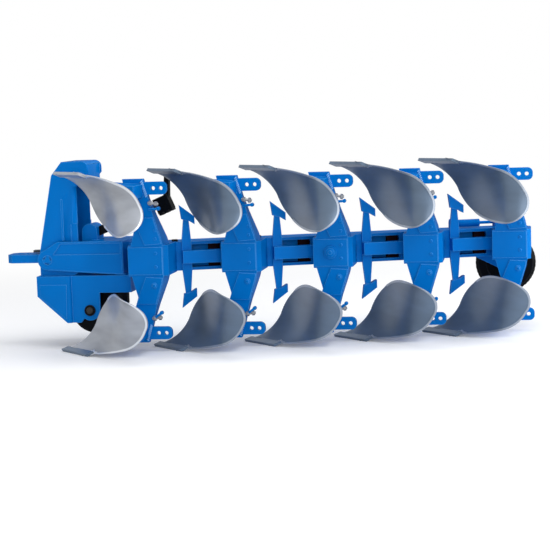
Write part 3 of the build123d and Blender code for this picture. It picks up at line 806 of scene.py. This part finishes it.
# ---- stage -----------------------------------------------------------------------------------
def seen_rays(tree):
    """1 for rays from the eye, a sheen or a clear part, and 0 for those that light the toy."""
    path = add_node(tree, "ShaderNodeLightPath")
    eye = add_node(
        tree,
        "ShaderNodeMath",
        {"operation": "MAXIMUM"},
        {0: path.outputs["Is Camera Ray"], 1: path.outputs["Is Glossy Ray"]},
    )
    seen = add_node(
        tree,
        "ShaderNodeMath",
        {"operation": "MAXIMUM"},
        {0: eye.outputs["Value"], 1: path.outputs["Is Transmission Ray"]},
    )
    return seen.outputs["Value"]


def white_sweep(floor_z, lift):
    """Matt paper that keeps the toy's shadow close by and runs out to plain white further off. It looks
    paler than it is lit by this lift."""
    shadow_kept, plain_from = 0.30, 0.85        # metres from the toy's middle
    material, tree, output = new_material("white_sweep")
    place = add_node(tree, "ShaderNodeTexCoord").outputs["Object"]
    middle = [(CAD_BOX[0][axis] + CAD_BOX[1][axis]) / 2 for axis in (0, 1)] + [floor_z]
    reach = add_node(tree, "ShaderNodeVectorMath", {"operation": "DISTANCE", 1: middle}, {0: place})
    away = add_node(
        tree,
        "ShaderNodeMapRange",
        {"From Min": shadow_kept, "From Max": plain_from, "interpolation_type": "SMOOTHSTEP"},
        {"Value": reach.outputs["Value"]},
    )
    seen = seen_rays(tree)
    fade = add_node(tree, "ShaderNodeMath", {"operation": "MULTIPLY"}, {0: away.outputs["Result"], 1: seen})
    paler = add_node(tree, "ShaderNodeMath", {"operation": "MULTIPLY", 1: lift}, {0: seen})
    lit = add_node(tree, "ShaderNodeBsdfDiffuse", {"Color": [0.93, 0.94, 0.96, 1.0]})
    glow = add_node(tree, "ShaderNodeEmission", {}, {"Strength": paler.outputs["Value"]})
    paper = add_node(tree, "ShaderNodeAddShader", {}, {0: lit.outputs["BSDF"], 1: glow.outputs["Emission"]})
    plain = add_node(tree, "ShaderNodeEmission", {"Strength": 1.0})
    sweep = add_node(
        tree,
        "ShaderNodeMixShader",
        {},
        {0: fade.outputs["Value"], 1: paper.outputs["Shader"], 2: plain.outputs["Emission"]},
    )
    tree.links.new(sweep.outputs["Shader"], output.inputs["Surface"])
    return material


class PLOUGH_OT_stage(Operator):
    """Make the pale floor and backdrop, the lamps and the camera"""

    bl_idname = "plough.stage"
    bl_label = "Stage"

    def execute(self, context):
        scene = context.scene
        settings = scene.plough_stage
        scene.view_settings.view_transform = "Standard"
        self.floor(scene, settings)
        self.world(scene, settings)
        self.lamp(scene, "top_lamp", (0.35, -0.35, 1.3), (0.25, 0, 0), 1.0, settings.top_power)
        self.lamp(scene, "side_lamp", (1.5, -0.1, 0.45), (0.25, 0, 0), 1.4, settings.side_power)
        front = self.lamp(scene, "front_lamp", (0.6, -1.6, 0.25), (0.2, 0, 0), 1.0, settings.front_power)
        front.visible_glossy = False                        # its square would show in the boards
        self.camera(scene, settings)
        return {"FINISHED"}

    def floor(self, scene, settings):
        """A floor that the toy stands on, wide enough to fill the view."""
        floor_z = CAD_BOX[0][2]
        bm = bmesh.new()
        bmesh.ops.create_grid(bm, x_segments=1, y_segments=1, size=6.0)
        bmesh.ops.translate(bm, vec=(0, 0, floor_z), verts=bm.verts)
        mesh = bpy.data.meshes.new("floor")
        bm.to_mesh(mesh)
        bm.free()
        floor = bpy.data.objects.new("floor", mesh)
        scene.collection.objects.link(floor)
        dress(floor, white_sweep(floor_z, settings.floor_lift))

    def world(self, scene, settings):
        """White as a backdrop and in reflections, and dimmer as a light."""
        world = bpy.data.worlds.new("soft_studio")
        world.use_nodes = True
        scene.world = world
        tree = world.node_tree
        tree.nodes.clear()
        strength = add_node(
            tree,
            "ShaderNodeMapRange",
            {"To Min": settings.world_light, "To Max": 1.0},
            {"Value": seen_rays(tree)},
        )
        background = add_node(
            tree,
            "ShaderNodeBackground",
            {"Color": [1.0, 1.0, 1.0, 1.0]},
            {"Strength": strength.outputs["Result"]},
        )
        out = tree.nodes.new("ShaderNodeOutputWorld")
        tree.links.new(background.outputs["Background"], out.inputs["Surface"])

    def lamp(self, scene, name, place, target, size, power):
        """A square area lamp that faces its target."""
        data = bpy.data.lights.new(name, "AREA")
        data.size = size
        data.energy = power
        lamp = bpy.data.objects.new(name, data)
        lamp.location = place
        lamp.rotation_euler = (Vector(target) - Vector(place)).to_track_quat("-Z", "Y").to_euler()
        scene.collection.objects.link(lamp)
        return lamp

    def camera(self, scene, settings):
        """A long lens before the furrow side, a little above the toy and behind its middle."""
        place = Vector((0.4167, -1.2186, 0.1175))
        heading = Vector((-0.1654, 0.9863, 0.0)).normalized()
        pitch = math.radians(-6.25)
        roll = math.radians(-1.88)
        data = bpy.data.cameras.new("camera")
        data.lens = settings.lens
        data.sensor_width = 36.0
        camera = bpy.data.objects.new("camera", data)
        scene.collection.objects.link(camera)
        look = heading * math.cos(pitch) + Vector((0, 0, math.sin(pitch)))
        turn = look.to_track_quat("-Z", "Y").to_matrix().to_4x4()
        camera.matrix_world = Matrix.Translation(place) @ turn @ Matrix.Rotation(roll, 4, "Z")
        scene.camera = camera


# ---- panel and registration --------------------------------------------------------------------
OPERATORS = (
    PLOUGH_OT_finishes,
    PLOUGH_OT_tower_shell,
    PLOUGH_OT_upper_boards,
    PLOUGH_OT_bolt_heads,
    PLOUGH_OT_shear_bolts,
    PLOUGH_OT_foot_teeth,
    PLOUGH_OT_board_rims,
    PLOUGH_OT_beam_fittings,
    PLOUGH_OT_headstock_details,
    PLOUGH_OT_tyre_tread,
    PLOUGH_OT_stage,
)


class PLOUGH_PT_panel(Panel):
    """The plough's pieces and stage"""

    bl_idname = "PLOUGH_PT_panel"
    bl_label = "Toy plough"
    bl_space_type = "VIEW_3D"
    bl_region_type = "UI"
    bl_category = "Plough"

    def draw(self, context):
        for operator in OPERATORS:
            self.layout.operator(operator.bl_idname)


CLASSES = (FinishSettings, DetailSettings, StageSettings, *OPERATORS, PLOUGH_PT_panel)


def register():
    for cls in CLASSES:
        bpy.utils.register_class(cls)
    bpy.types.Scene.plough_finish = PointerProperty(type=FinishSettings)
    bpy.types.Scene.plough_detail = PointerProperty(type=DetailSettings)
    bpy.types.Scene.plough_stage = PointerProperty(type=StageSettings)


def unregister():
    del bpy.types.Scene.plough_stage
    del bpy.types.Scene.plough_detail
    del bpy.types.Scene.plough_finish
    for cls in reversed(CLASSES):
        bpy.utils.unregister_class(cls)


def main():
    register()
    bpy.ops.plough.finishes()
    bpy.ops.plough.tower_shell()
    bpy.ops.plough.upper_boards()
    bpy.ops.plough.bolt_heads()
    bpy.ops.plough.shear_bolts()
    bpy.ops.plough.foot_teeth()
    bpy.ops.plough.board_rims()
    bpy.ops.plough.beam_fittings()
    bpy.ops.plough.headstock_details()
    bpy.ops.plough.tyre_tread()
    bpy.ops.plough.stage()


if __name__ == "__main__":
    main()
